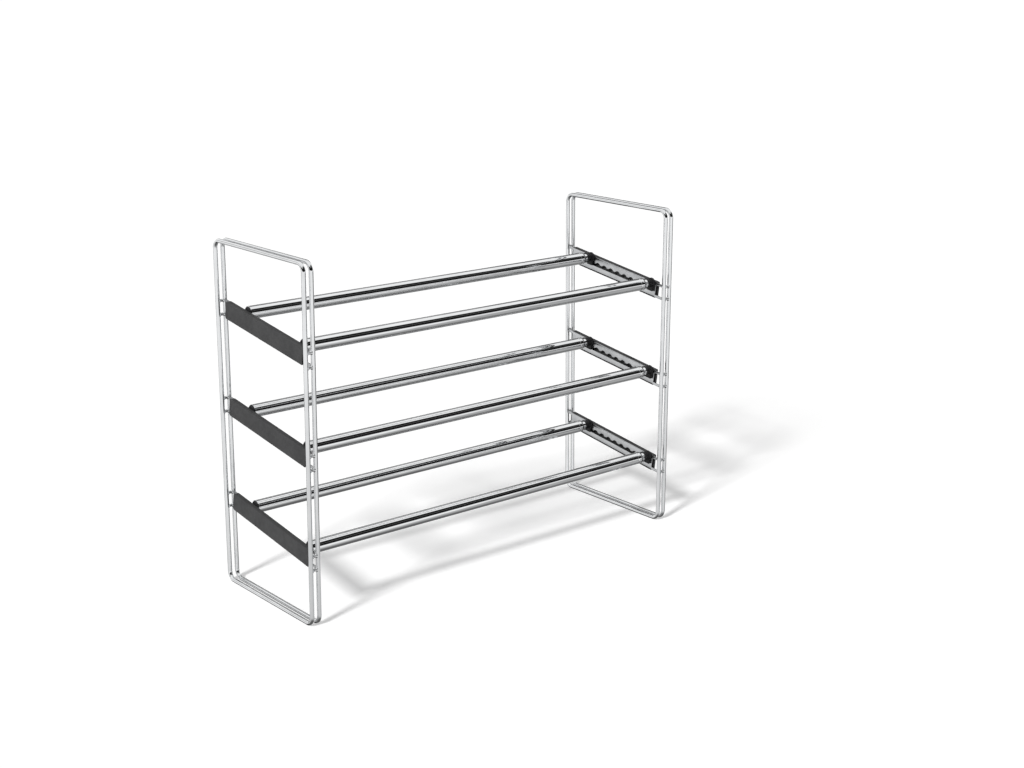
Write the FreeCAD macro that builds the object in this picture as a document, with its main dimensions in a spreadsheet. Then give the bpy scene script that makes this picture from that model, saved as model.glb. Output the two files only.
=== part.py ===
import FreeCAD, Part
import math
import os
from FreeCAD import Vector
from Sketcher import Constraint

# Pull out shoe rack: two end frames of round chromed wire, joined by six telescopic tubes on
# three sloping tiers. X runs along the rack, -Y is the front, Z is up. The origin lies on the
# floor under the middle of the closed rack. All sizes are in millimetres and degrees.

doc = FreeCAD.newDocument("pull_out_shoe_rack")
sheet = doc.addObject("Spreadsheet::Sheet", "size")

DRIVING = [
    ("wire_dia", 6.0, "frame wire diameter"),
    ("loop_height", 474.0, "bottom bar to top bar of a loop, centre to centre"),
    ("loop_depth_top", 215.0, "front post to rear post at the top bends"),
    ("loop_depth_bottom", 208.0, "front post to rear post at the bottom bends"),
    ("bend_radius", 11.0, "centreline radius of the wire bends"),
    ("loop_gap", 11.0, "outer loop to inner loop of one end frame"),
    ("closed_length", 632.0, "left outer loop to right outer loop, rack pushed in"),
    ("tier_low", 101.8, "floor to the middle of the lowest rail"),
    ("tier_step", 134.0, "rail to rail, upwards"),
    ("tier_tilt", 8.1, "fall of each tier towards the front, degrees"),
    ("link_dia", 4.0, "short link wires between the two loops"),
    ("rail_inset", 9.0, "rail's end to the post's centre where a loop is narrowest"),
    ("rail_height", 22.8, "steel rail, over its flanges"),
    ("rail_flange", 5.0, "flange width of the steel rail"),
    ("rail_wall", 1.2, "sheet of the steel rail"),
    ("rail_proud", 0.5, "web stands in from the inner loop's centre plane"),
    ("web_inset", 5.0, "web and flanges end behind the cover's open front end"),
    ("finger_height", 4.0, "welded fingers at the rail's four corners"),
    ("finger_short", 1.0, "fingers end short of the post's centre"),
    ("cover_depth", 6.5, "plastic rail cover, across the rack's end"),
    ("cover_wall", 0.9, "wall of the plastic rail cover"),
    ("cover_end", 3.0, "closed rear end of the plastic rail cover"),
    ("cover_corner", 4.5, "corner radius at the cover's closed end"),
    ("cover_tip", 1.5, "corner radius at the cover's open end"),
    ("cover_edge", 1.0, "rounding of the cover's outer edges"),
    ("slot_drop", 1.2, "slot centre below the rail's centre line"),
    ("slot_height", 4.0, "narrow height of the slot, under the teeth"),
    ("notch_pitch", 14.9, "recess to recess along the slot"),
    ("notch_steps", 9, "recess pitches between front and rear rod"),
    ("notch_rise", 2.6, "depth of a recess above the slot"),
    ("notch_radius", 6.6, "radius of a recess"),
    ("rod_inset", 13.0, "front rod behind the rail's front end"),
    ("rod_rise", 9.3, "rod axis above the rail's centre line"),
    ("outer_dia", 18.0, "outer tube diameter"),
    ("inner_dia", 14.0, "inner tube diameter"),
    ("tube_wall", 0.8, "wall of both tubes"),
    ("crimp_inset", 6.0, "rolled crimp from the outer tube's open end"),
    ("crimp_width", 1.4, "rolled crimp along the tube"),
    ("crimp_depth", 0.35, "rolled crimp into the wall"),
    ("slide_play", 0.05, "radial running clearance of tubes and bushes"),
    ("web_play", 0.3, "clearance of each plug on either side of the rail web"),
    ("neck_width", 6.0, "plug neck along the slot"),
    ("neck_play", 0.3, "neck clearance below and above, in the slot"),
    ("head_width", 9.0, "plug head along the rail"),
    ("head_height", 14.0, "plug head, up the rail"),
    ("head_thick", 3.0, "plug head, behind the web"),
    ("foot_width", 11.0, "keel under a plug's flange that carries the neck"),
    ("flange_thick", 1.2, "flange of the outer tube's plug"),
    ("spigot_length", 12.0, "part of the plug inside its tube"),
    ("plug_length", 14.0, "inner tube's plug, from web clearance to tube"),
    ("plug_flange_dia", 14.6, "inner tube's plug at the rail"),
    ("plug_flange_thick", 3.5, "inner tube's plug at the rail"),
    ("plug_waist_dia", 11.4, "inner tube's plug at its waist"),
    ("plug_collar_dia", 15.2, "inner tube's plug at the tube"),
    ("plug_collar_thick", 3.0, "inner tube's plug at the tube"),
    ("bush_length", 24.0, "slide bush inside the outer tube"),
    ("bush_rim_thick", 1.5, "slide bush rim on the tube's end"),
    ("bush_rim_inset", 0.2, "rim's edge inside the tube's outer surface"),
    ("guide_length", 31.0, "guide on the inner tube's hidden end"),
    ("guide_wall", 4.0, "closed end of the guide"),
    ("tube_show", 6.4, "inner tube left bare when the rack is pushed in"),
    ("rest_gap", 1.0, "guide to plug when the rack is pushed in"),
    ("stop_gap", 2.3, "guide to bush when the rack is pulled out"),
]

DERIVED = [
    ("post_lean", "(loop_depth_top - loop_depth_bottom) / 2 / (loop_height - 2 * bend_radius)"),
    ("rail_length", "min(loop_depth_bottom; loop_depth_top) - 2 * rail_inset"),
    ("front_station", "rail_length / 2 - rod_inset"),
    ("web_spacing", "closed_length - 2 * loop_gap - 2 * rail_proud"),
    ("outer_start", "web_play + flange_thick"),
    ("inner_start", "web_play + plug_length"),
    ("outer_length", "web_spacing - outer_start - bush_rim_thick - tube_show - inner_start"),
    ("inner_length",
     "web_spacing - outer_start - spigot_length - rest_gap - guide_wall - inner_start"),
    ("pull_travel",
     "outer_length - spigot_length - rest_gap - guide_length - stop_gap - bush_length"),
    ("slot_floor", "-slot_drop - slot_height / 2"),
    ("slot_roof", "-slot_drop + slot_height / 2"),
    ("neck_level", "-slot_drop - rod_rise"),
    ("neck_height", "slot_height - 2 * neck_play"),
]

TIERS = ["bottom", "middle", "top"]
SIDES = ["left", "right"]
STATIONS = ["front", "rear"]
SAME_PLACE = 0.01    # closer than this counts as the same place, where edges are picked


def fill_sheet():
    """Write the driving sizes, and then the sizes worked out from them, one row each."""
    row = 1
    for name, number, note in DRIVING:
        sheet.set(f"A{row}", note)
        sheet.set(f"B{row}", str(number))
        sheet.setAlias(f"B{row}", name)
        row += 1
    for name, formula in DERIVED:
        sheet.set(f"A{row}", "worked out")
        sheet.set(f"B{row}", "=" + formula)
        sheet.setAlias(f"B{row}", name)
        row += 1
    doc.recompute()


fill_sheet()


def number(expression):
    """The value that an expression on the sheet has now, as a plain number."""
    value = sheet.evalExpression(str(expression))
    return float(getattr(value, "Value", value))


# ---------------------------------------------------------------- sketches and features

def origin_item(body, role):
    for item in body.Origin.OriginFeatures:
        if item.Role == role:
            return item
    raise ValueError(role)


def new_body(label):
    body = doc.addObject("PartDesign::Body", label)
    body.Label = label
    return body


def new_sketch(body, name, role, offset=None):
    """Sketch on one of the body's own planes, moved along its normal by an expression."""
    sketch = body.newObject("Sketcher::SketchObject", f"{body.Name}_{name}")
    sketch.AttachmentSupport = [(origin_item(body, role), "")]
    sketch.MapMode = "FlatFace"
    if offset is not None:
        sketch.setExpression("AttachmentOffset.Base.z", offset)
    return sketch


def add_size(sketch, kind, places, expression):
    """Add a constraint whose value follows an expression on the sheet."""
    index = sketch.addConstraint(Constraint(kind, *places, number(expression)))
    sketch.setExpression(f"Constraints[{index}]", expression)


def place_point(sketch, geometry, point, x, y):
    """Tie one point of a sketch to two expressions, measured from the sketch's origin."""
    for kind, axis, expression in (("DistanceX", -2, x), ("DistanceY", -1, y)):
        if expression == "0":
            sketch.addConstraint(Constraint("PointOnObject", geometry, point, axis))
        else:
            add_size(sketch, kind, (-1, 1, geometry, point), expression)


def draw_outline(sketch, corners):
    """Closed outline of straight lines through corners given as pairs of expressions."""
    first = sketch.GeometryCount
    points = [Vector(number(x), number(y), 0) for x, y in corners]
    count = len(points)
    for i in range(count):
        sketch.addGeometry(Part.LineSegment(points[i], points[(i + 1) % count]), False)
    for i in range(count):
        after = first + (i + 1) % count
        sketch.addConstraint(Constraint("Coincident", first + i, 2, after, 1))
    for i, (x, y) in enumerate(corners):
        place_point(sketch, first + i, 1, x, y)


def draw_box(sketch, left, right, low, high):
    draw_outline(sketch, [(left, low), (right, low), (right, high), (left, high)])


def draw_circle(sketch, x, y, radius):
    centre = Vector(number(x), number(y), 0)
    circle = Part.Circle(centre, Vector(0, 0, 1), number(radius))
    geometry = sketch.addGeometry(circle, False)
    place_point(sketch, geometry, 3, x, y)
    add_size(sketch, "Radius", (geometry,), radius)


def add_pad(body, sketch, length, reverse):
    pad = body.newObject("PartDesign::Pad", sketch.Name + "_pad")
    pad.Profile = sketch
    pad.setExpression("Length", length)
    pad.Reversed = reverse
    body.Tip = pad
    return pad


def add_pocket(body, sketch, depth, reverse):
    """Pocket that has to take material away, whichever side of the sketch the solid is on."""
    doc.recompute()
    before = body.Shape.Volume
    pocket = body.newObject("PartDesign::Pocket", sketch.Name + "_pocket")
    pocket.Profile = sketch
    pocket.setExpression("Length", depth)
    pocket.Reversed = reverse
    body.Tip = pocket
    doc.recompute()
    if body.Shape.Volume >= before:
        raise ValueError(pocket.Name + " cuts nothing")
    return pocket


def add_revolution(body, sketch):
    turn = body.newObject("PartDesign::Revolution", sketch.Name + "_turn")
    turn.Profile = sketch
    turn.ReferenceAxis = (sketch, ["H_Axis"])
    turn.Angle = 360
    body.Tip = turn
    return turn


def add_fillet(body, base, edges, radius):
    fillet = body.newObject("PartDesign::Fillet", base.Name + "_fillet")
    fillet.Base = (base, edges)
    fillet.setExpression("Radius", radius)
    body.Tip = fillet
    return fillet


def edges_along(shape, axis, wanted):
    """Names of the straight edges along an axis whose middle passes a test."""
    names = []
    for index, edge in enumerate(shape.Edges, 1):
        if len(edge.Vertexes) < 2 or edge.Curve.TypeId != "Part::GeomLine":
            continue
        way = edge.Vertexes[1].Point - edge.Vertexes[0].Point
        if way.cross(axis).Length < SAME_PLACE and wanted(edge.CenterOfMass):
            names.append(f"Edge{index}")
    return names


def inward(side):
    """+1 where the rods lie towards +X of the end frame, -1 where they lie towards -X."""
    return 1 if side == "left" else -1


def signed(side, expression):
    return f"{inward(side)} * ({expression})"


def web_x(side):
    """X of the rail web's face that looks at the rods."""
    return signed(side, "-size.web_spacing / 2")


def tier_z(tier):
    return f"(size.tier_low + {TIERS.index(tier)} * size.tier_step)"


def rod_station(station):
    """Expression for a rod's place along its rail, from the rail's middle."""
    if station == "front":
        return "(-size.front_station)"
    return "(size.notch_steps * size.notch_pitch - size.front_station)"


def place(thing, x, y, z, tilted=True):
    thing.setExpression("Placement.Base.x", x)
    thing.setExpression("Placement.Base.y", y)
    thing.setExpression("Placement.Base.z", z)
    if tilted:
        thing.Placement.Rotation = FreeCAD.Rotation(Vector(1, 0, 0), number("size.tier_tilt"))
        thing.setExpression("Placement.Rotation.Angle", "size.tier_tilt")


# ---------------------------------------------------------------- end frames

def post_half(z):
    """Expression for half the post spacing of a loop at height z: the posts lean a little."""
    return (f"(size.loop_depth_bottom / 2 + size.post_lean *"
            f" ({z} - size.wire_dia / 2 - size.bend_radius))")


def draw_loop_path(sketch):
    """Rounded, slightly tapered ring: two half bottom bars, posts, top bar and four bends."""
    bottom_bar = "size.wire_dia / 2"
    top_bar = "(size.wire_dia / 2 + size.loop_height)"
    half_low = "(size.loop_depth_bottom / 2 - size.bend_radius)"
    half_high = "(size.loop_depth_top / 2 - size.bend_radius)"
    lean = math.atan(number("size.post_lean"))
    quarter = math.pi / 2
    bends = [(half_low, bottom_bar + " + size.bend_radius", -quarter, -lean),
             (half_high, top_bar + " - size.bend_radius", -lean, quarter),
             ("-" + half_high, top_bar + " - size.bend_radius", quarter, math.pi + lean),
             ("-" + half_low, bottom_bar + " + size.bend_radius", math.pi + lean, 3 * quarter)]
    arcs = []
    for across, height, start, end in bends:
        centre = Vector(number(across), number(height), 0)
        circle = Part.Circle(centre, Vector(0, 0, 1), number("size.bend_radius"))
        arcs.append(sketch.addGeometry(Part.ArcOfCircle(circle, start, end), False))

    middle = Vector(0, number(bottom_bar), 0)
    starts = [middle] + [sketch.Geometry[arc].EndPoint for arc in arcs]
    ends = [sketch.Geometry[arc].StartPoint for arc in arcs] + [middle]
    lines = [sketch.addGeometry(Part.LineSegment(a, b), False) for a, b in zip(starts, ends)]
    for i, arc in enumerate(arcs):
        sketch.addConstraint(Constraint("Tangent", lines[i], 2, arc, 1))
        sketch.addConstraint(Constraint("Tangent", arc, 2, lines[i + 1], 1))
        add_size(sketch, "DistanceX", (-1, 1, arc, 3), bends[i][0])
    for arc in arcs[1:]:
        sketch.addConstraint(Constraint("Equal", arcs[0], arc))
    for line in (lines[0], lines[2], lines[4]):
        sketch.addConstraint(Constraint("Horizontal", line))
    sketch.addConstraint(Constraint("Coincident", lines[4], 2, lines[0], 1))
    sketch.addConstraint(Constraint("PointOnObject", lines[0], 1, -2))
    add_size(sketch, "Radius", (arcs[0],), "size.bend_radius")
    add_size(sketch, "DistanceY", (-1, 1, lines[0], 1), bottom_bar)
    add_size(sketch, "DistanceY", (-1, 1, lines[2], 1), top_bar)


def make_loop(label, x):
    """One closed loop of bent round wire, standing on its bottom bar."""
    body = new_body(label)
    path = new_sketch(body, "path", "YZ_Plane")
    draw_loop_path(path)
    section = new_sketch(body, "section", "XZ_Plane")
    draw_circle(section, "0", "size.wire_dia / 2", "size.wire_dia / 2")
    pipe = body.newObject("PartDesign::AdditivePipe", label + "_pipe")
    pipe.Profile = section
    pipe.Spine = path
    body.Tip = pipe
    place(body, x, "0", "0", tilted=False)
    return body


def make_link_wires(side, outer_loop, inner_loop):
    """Short wires between the two loops, two at each rail end, coped onto the round posts."""
    wires = []
    for tier in TIERS:
        for station, sign in (("front", -1), ("rear", 1)):
            post = post_half(tier_z(tier))
            end_z = f"({tier_z(tier)} + {sign} * {post} * tan(size.tier_tilt))"
            for level, rise in (("low", -1), ("high", 1)):
                name = f"{side}_{tier}_{station}_{level}_link"
                wire = doc.addObject("Part::Cylinder", name)
                wire.setExpression("Radius", "size.link_dia / 2")
                wire.setExpression("Height", "size.loop_gap")
                wire.Placement.Rotation = FreeCAD.Rotation(Vector(0, inward(side), 0), 90)
                z = f"({end_z} + {rise} * (size.rail_height - size.finger_height) / 2)"
                place(wire, signed(side, "-size.closed_length / 2"),
                      f"{sign} * {post_half(z)}", z, tilted=False)
                wires.append(wire)
    group = doc.addObject("Part::Compound", side + "_link_blanks")
    group.Links = wires
    coped = doc.addObject("Part::Cut", side + "_link_coped")
    coped.Base = group
    coped.Tool = outer_loop
    node = doc.addObject("Part::Cut", side + "_link_wires")
    node.Base = coped
    node.Tool = inner_loop
    return node


# ---------------------------------------------------------------- rails and their covers

def draw_notch(sketch):
    """Segment of a circle that stands on the slot's roof, at the front rod's place."""
    radius = number("size.notch_radius")
    x = "-size.front_station"
    y = "size.slot_roof + size.notch_rise - size.notch_radius"
    centre = Vector(number(x), number(y), 0)
    start = math.asin((number("size.slot_roof") - centre.y) / radius)
    circle = Part.Circle(centre, Vector(0, 0, 1), radius)
    arc = sketch.addGeometry(Part.ArcOfCircle(circle, start, math.pi - start), False)
    ends = sketch.Geometry[arc]
    chord = sketch.addGeometry(Part.LineSegment(ends.EndPoint, ends.StartPoint), False)
    sketch.addConstraint(Constraint("Coincident", arc, 2, chord, 1))
    sketch.addConstraint(Constraint("Coincident", chord, 2, arc, 1))
    sketch.addConstraint(Constraint("Horizontal", chord))
    place_point(sketch, arc, 3, x, y)
    add_size(sketch, "Radius", (arc,), "size.notch_radius")
    add_size(sketch, "DistanceY", (-1, 1, chord, 1), "size.slot_roof")


def make_rail(side, tier, inner_loop, link_wires):
    """Slotted steel channel: web towards the rods, two flanges, and fingers onto the posts."""
    label = f"{side}_{tier}_rail"
    body = new_body(label + "_blank")
    away = side == "left"
    rear_end = "size.rail_length / 2"
    front_end = "(size.web_inset - size.rail_length / 2)"
    reach = f"(({post_half(tier_z(tier))} - size.finger_short) / cos(size.tier_tilt))"
    edge = "size.rail_height / 2"
    finger = "(size.rail_height / 2 - size.finger_height)"
    web = new_sketch(body, "web", "YZ_Plane")
    draw_outline(web, [(reach, "-" + edge), (reach, "-" + finger), (rear_end, "-" + finger),
                       (rear_end, finger), (reach, finger), (reach, edge),
                       ("-" + reach, edge), ("-" + reach, finger), (front_end, finger),
                       (front_end, "-" + finger), ("-" + reach, "-" + finger),
                       ("-" + reach, "-" + edge)])
    add_pad(body, web, "size.rail_wall", away)

    for name, low, high in (("top", edge + " - size.rail_wall", edge),
                            ("under", "-" + edge, "-" + edge + " + size.rail_wall")):
        flange = new_sketch(body, name + "_flange", "YZ_Plane")
        draw_box(flange, front_end, rear_end, low, high)
        add_pad(body, flange, "size.rail_flange", away)

    slot = new_sketch(body, "slot", "YZ_Plane")
    room = "(size.neck_width / 2 + size.web_play)"
    draw_box(slot, f"{rod_station('front')} - {room}", f"{rod_station('rear')} + {room}",
             "size.slot_floor", "size.slot_roof")
    add_pocket(body, slot, "size.rail_wall", not away)

    notch = new_sketch(body, "notch", "YZ_Plane")
    draw_notch(notch)
    cut = add_pocket(body, notch, "size.rail_wall", not away)
    row = body.newObject("PartDesign::LinearPattern", label + "_notches")
    row.Originals = [cut]
    row.Direction = (origin_item(body, "Y_Axis"), [""])
    row.setExpression("Length", "size.notch_steps * size.notch_pitch")
    row.setExpression("Occurrences", "size.notch_steps + 1")
    body.Tip = row
    place(body, web_x(side), "0", tier_z(tier))
    seated = doc.addObject("Part::Cut", label + "_seated")
    seated.Base = body
    seated.Tool = inner_loop
    node = doc.addObject("Part::Cut", label)
    node.Base = seated
    node.Tool = link_wires
    return node


def make_cover(side, tier):
    """Plastic cover that slides over the rail's flanges from the front, up to its end wall."""
    label = f"{side}_{tier}_rail_cover"
    body = new_body(label)
    away = side == "left"
    half = "size.rail_length / 2"
    edge = "size.rail_height / 2"
    block = new_sketch(body, "block", "YZ_Plane")
    tall = edge + " + size.cover_wall"
    draw_box(block, "-" + half, half + " + size.cover_end", f"-({tall})", tall)
    rounded = add_pad(body, block, "size.cover_depth", away)
    doc.recompute()

    for radius, end in (("size.cover_corner", 1), ("size.cover_tip", -1)):
        corners = edges_along(rounded.Shape, Vector(1, 0, 0),
                              lambda middle: middle.y * end > number(half) - SAME_PLACE)
        rounded = add_fillet(body, rounded, corners, radius)
        doc.recompute()
    depth = number("size.cover_depth")
    rims = edges_along(rounded.Shape, Vector(0, 1, 0),
                       lambda middle: abs(abs(middle.x) - depth) < SAME_PLACE)
    add_fillet(body, rounded, rims, "size.cover_edge")

    inside = new_sketch(body, "inside", "YZ_Plane")
    draw_box(inside, f"-({half} + size.cover_end)", half, "-" + edge, edge)
    add_pocket(body, inside, "size.cover_depth - size.cover_wall", not away)
    way_out = new_sketch(body, "way_out", "YZ_Plane")
    draw_box(way_out, half + " - size.cover_end", half + " + 2 * size.cover_end",
             "-" + edge, edge)
    add_pocket(body, way_out, "size.rail_wall + size.web_play", not away)
    place(body, web_x(side), "0", tier_z(tier))
    return body


# ---------------------------------------------------------------- telescopic rods

def place_on_rod(thing, side, tier, station):
    """Put a rod piece's own frame on the rod's axis, in the plane of the web's inner face."""
    along = rod_station(station)
    place(thing, web_x(side),
          f"{along} * cos(size.tier_tilt) - size.rod_rise * sin(size.tier_tilt)",
          f"{tier_z(tier)} + {along} * sin(size.tier_tilt)"
          f" + size.rod_rise * cos(size.tier_tilt)")


def make_tube(label, start, length, outside, side):
    body = new_body(label)
    ring = new_sketch(body, "ring", "YZ_Plane", signed(side, start))
    draw_circle(ring, "0", "0", f"{outside} / 2")
    draw_circle(ring, "0", "0", f"{outside} / 2 - size.tube_wall")
    add_pad(body, ring, length, side == "right")
    return body


def make_outer_tube(tier, station):
    """Thick tube of the left frame, with a rolled crimp that holds its slide bush."""
    body = make_tube(f"{tier}_{station}_outer_tube", "size.outer_start",
                     "size.outer_length", "size.outer_dia", "left")
    doc.recompute()
    crimp = new_sketch(body, "crimp", "XY_Plane")
    far = "(size.outer_start + size.outer_length - size.crimp_inset)"
    draw_box(crimp, f"{far} - size.crimp_width / 2", f"{far} + size.crimp_width / 2",
             "size.outer_dia / 2 - size.crimp_depth", "size.outer_dia / 2 + size.crimp_depth")
    groove = body.newObject("PartDesign::Groove", body.Name + "_rolled")
    groove.Profile = crimp
    groove.ReferenceAxis = (crimp, ["H_Axis"])
    groove.Angle = 360
    body.Tip = groove
    place_on_rod(body, "left", tier, station)
    return body


def make_inner_tube(tier, station):
    """Thin tube of the right frame, which runs inside the outer tube."""
    body = make_tube(f"{tier}_{station}_inner_tube", "size.inner_start",
                     "size.inner_length", "size.inner_dia", "right")
    place_on_rod(body, "right", tier, station)
    return body


def make_bush(tier, station):
    """Slide bush in the outer tube's mouth: a sleeve with a rim on the tube's end."""
    body = new_body(f"{tier}_{station}_slide_bush")
    profile = new_sketch(body, "profile", "XY_Plane")
    mouth = "(size.outer_start + size.outer_length)"
    bore = "size.inner_dia / 2 + size.slide_play"
    seat = "size.outer_dia / 2 - size.tube_wall"
    rim = "size.outer_dia / 2 - size.bush_rim_inset"
    draw_outline(profile, [(f"{mouth} - size.bush_length", bore),
                           (f"{mouth} + size.bush_rim_thick", bore),
                           (f"{mouth} + size.bush_rim_thick", rim),
                           (mouth, rim), (mouth, seat),
                           (f"{mouth} - size.bush_length", seat)])
    add_revolution(body, profile)
    place_on_rod(body, "left", tier, station)
    return body


def make_guide(tier, station):
    """Guide cup on the inner tube's hidden end: it centres the tube and stops at the bush."""
    body = new_body(f"{tier}_{station}_tube_guide")
    profile = new_sketch(body, "profile", "XY_Plane")
    seat = "-(size.inner_start + size.inner_length)"
    back = f"{seat} - size.guide_wall"
    front = f"{back} + size.guide_length"
    run = "size.outer_dia / 2 - size.tube_wall - size.slide_play"
    draw_outline(profile, [(back, "0"), (back, run), (front, run),
                           (front, "size.inner_dia / 2"), (seat, "size.inner_dia / 2"),
                           (seat, "0")])
    add_revolution(body, profile)
    place_on_rod(body, "right", tier, station)
    return body


def add_hook(body, side, flange_thick):
    """Keel, neck and head: the neck passes the slot and the head holds behind the web."""
    away = side == "left"
    low = "size.neck_level - size.neck_height / 2"
    high = "size.neck_level + size.neck_height / 2"
    keel = new_sketch(body, "keel", "YZ_Plane", signed(side, "size.web_play"))
    draw_box(keel, "-size.foot_width / 2", "size.foot_width / 2", low, "0")
    add_pad(body, keel, flange_thick, not away)
    neck = new_sketch(body, "neck", "YZ_Plane", signed(side, "size.web_play"))
    draw_box(neck, "-size.neck_width / 2", "size.neck_width / 2", low, high)
    add_pad(body, neck, "size.rail_wall + 2 * size.web_play", away)
    head = new_sketch(body, "head", "YZ_Plane",
                      signed(side, "-(size.rail_wall + size.web_play)"))
    draw_box(head, "-size.head_width / 2", "size.head_width / 2",
             "size.neck_level - size.head_height / 2", "size.neck_level + size.head_height / 2")
    add_pad(body, head, "size.head_thick", away)


def make_outer_plug(tier, station):
    """Plug of the outer tube: spigot, flange and hook into the left rail."""
    body = new_body(f"{tier}_{station}_outer_plug")
    profile = new_sketch(body, "profile", "XY_Plane")
    flange = "size.outer_dia / 2"
    spigot = "size.outer_dia / 2 - size.tube_wall"
    tip = "size.outer_start + size.spigot_length"
    draw_outline(profile, [("size.web_play", "0"), ("size.web_play", flange),
                           ("size.outer_start", flange), ("size.outer_start", spigot),
                           (tip, spigot), (tip, "0")])
    add_revolution(body, profile)
    add_hook(body, "left", "size.flange_thick")
    place_on_rod(body, "left", tier, station)
    return body


def make_inner_plug(tier, station):
    """Plug of the inner tube: spigot, collar, waist, flange and hook into the right rail."""
    body = new_body(f"{tier}_{station}_inner_plug")
    profile = new_sketch(body, "profile", "XY_Plane")
    flange_end = "-(size.web_play + size.plug_flange_thick)"
    collar_start = "-(size.inner_start - size.plug_collar_thick)"
    tube_end = "-size.inner_start"
    tip = "-(size.inner_start + size.spigot_length)"
    spigot = "size.inner_dia / 2 - size.tube_wall"
    draw_outline(profile, [("-size.web_play", "0"),
                           ("-size.web_play", "size.plug_flange_dia / 2"),
                           (flange_end, "size.plug_flange_dia / 2"),
                           (flange_end, "size.plug_waist_dia / 2"),
                           (collar_start, "size.plug_waist_dia / 2"),
                           (collar_start, "size.plug_collar_dia / 2"),
                           (tube_end, "size.plug_collar_dia / 2"),
                           (tube_end, spigot), (tip, spigot), (tip, "0")])
    add_revolution(body, profile)
    add_hook(body, "right", "size.plug_flange_thick")
    place_on_rod(body, "right", tier, station)
    return body


# ---------------------------------------------------------------- the whole rack

nodes = []
loops = {}
for side in SIDES:
    for place_name, inset in (("outer", "0"), ("inner", "size.loop_gap")):
        loop_x = signed(side, f"-size.closed_length / 2 + {inset}")
        loops[side, place_name] = make_loop(f"{side}_{place_name}_loop", loop_x)
        nodes.append(loops[side, place_name])
for side in SIDES:
    link_wires = make_link_wires(side, loops[side, "outer"], loops[side, "inner"])
    nodes.append(link_wires)
    for tier in TIERS:
        nodes.append(make_rail(side, tier, loops[side, "inner"], link_wires))
        nodes.append(make_cover(side, tier))
for tier in TIERS:
    for station in STATIONS:
        for maker in (make_outer_tube, make_outer_plug, make_bush,
                      make_inner_tube, make_inner_plug, make_guide):
            nodes.append(maker(tier, station))
doc.recompute()

for item in doc.Objects:
    faults = {"Invalid", "Error"} & set(item.State)
    if faults:
        raise ValueError(f"{item.Name} is {faults}")
for node in nodes:
    if node.Shape.isNull() or not node.Shape.isValid():
        raise ValueError(f"{node.Label} has no valid shape")

os.makedirs("parts", exist_ok=True)
for node in nodes:
    node.Shape.exportStep(f"parts/{node.Label}.step")
print(f"{len(nodes)} parts, pull out travel {number('size.pull_travel'):.1f} mm,",
      f"outer tube {number('size.outer_length'):.1f} mm,",
      f"inner tube {number('size.inner_length'):.1f} mm")
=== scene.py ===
"""Pull out shoe rack: two end frames of chromed wire, slotted rails in plastic covers, and six
telescopic chromed tubes on three tiers that slope to the front. Metres; X runs along the rack,
-Y is the front, Z is up, and the origin is on the floor under the middle of the closed rack."""
import bpy
import math
import numpy as np
from mathutils import Matrix, Vector


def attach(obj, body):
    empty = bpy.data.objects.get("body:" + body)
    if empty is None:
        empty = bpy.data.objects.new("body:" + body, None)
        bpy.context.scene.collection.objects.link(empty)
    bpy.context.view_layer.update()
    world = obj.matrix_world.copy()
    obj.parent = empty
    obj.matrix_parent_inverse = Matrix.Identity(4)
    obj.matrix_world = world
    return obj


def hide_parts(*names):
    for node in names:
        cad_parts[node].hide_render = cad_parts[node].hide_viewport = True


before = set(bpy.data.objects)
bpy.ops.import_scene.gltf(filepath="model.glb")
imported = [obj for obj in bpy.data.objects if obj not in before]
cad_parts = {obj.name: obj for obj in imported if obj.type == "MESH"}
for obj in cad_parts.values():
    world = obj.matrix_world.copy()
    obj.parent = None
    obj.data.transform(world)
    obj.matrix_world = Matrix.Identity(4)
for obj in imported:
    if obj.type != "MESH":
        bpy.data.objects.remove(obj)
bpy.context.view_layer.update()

# ------------------------------------------------------------------ camera
# It stands in front of the left end frame, a little above the rack, and looks down at it.
# FOCAL and DROP are in pixels of a picture that is PICTURE pixels wide.
PICTURE, FOCAL, DROP = 1024, 1624.8, 64
eye = Vector((-1.3580, -1.7675, 0.8618))
turn = math.radians(39.58)
fall = math.radians(13.17)
ahead = Vector((math.sin(turn) * math.cos(fall), math.cos(turn) * math.cos(fall), -math.sin(fall)))
sideways = Vector((math.cos(turn), -math.sin(turn), 0))
camera_data = bpy.data.cameras.new("camera")
camera_data.sensor_width = 36
camera_data.lens = FOCAL / PICTURE * camera_data.sensor_width
camera_data.shift_y = -DROP / PICTURE
camera = bpy.data.objects.new("camera", camera_data)
axes = Matrix((sideways, sideways.cross(ahead), -ahead)).transposed()
camera.matrix_world = Matrix.Translation(eye) @ axes.to_4x4()
bpy.context.scene.collection.objects.link(camera)
bpy.context.scene.camera = camera

# ------------------------------------------------------------------ wire loops of the end frames
# Each end frame has two closed loops of 6 mm steel wire, 11 mm apart, bent round a pin at the
# four corners, butt welded in the middle of the bottom bar, ground smooth and chrome plated.
# The posts lean apart by 3.5 mm towards the top.
SIDES = ("left", "right")
OUT = {"left": -1, "right": 1}
WIRE = 0.003
OUTER_PLANE, LOOP_GAP = 0.316, 0.011
HALF_LOW, HALF_HIGH = 0.104, 0.1075
LOOP_LOW, LOOP_HIGH = 0.003, 0.477
BEND = 0.011
LEAN = (HALF_HIGH - HALF_LOW) / (LOOP_HIGH - LOOP_LOW - 2 * BEND)
WELD_SINK, WELD_SPREAD = 0.02, 0.0015


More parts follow.
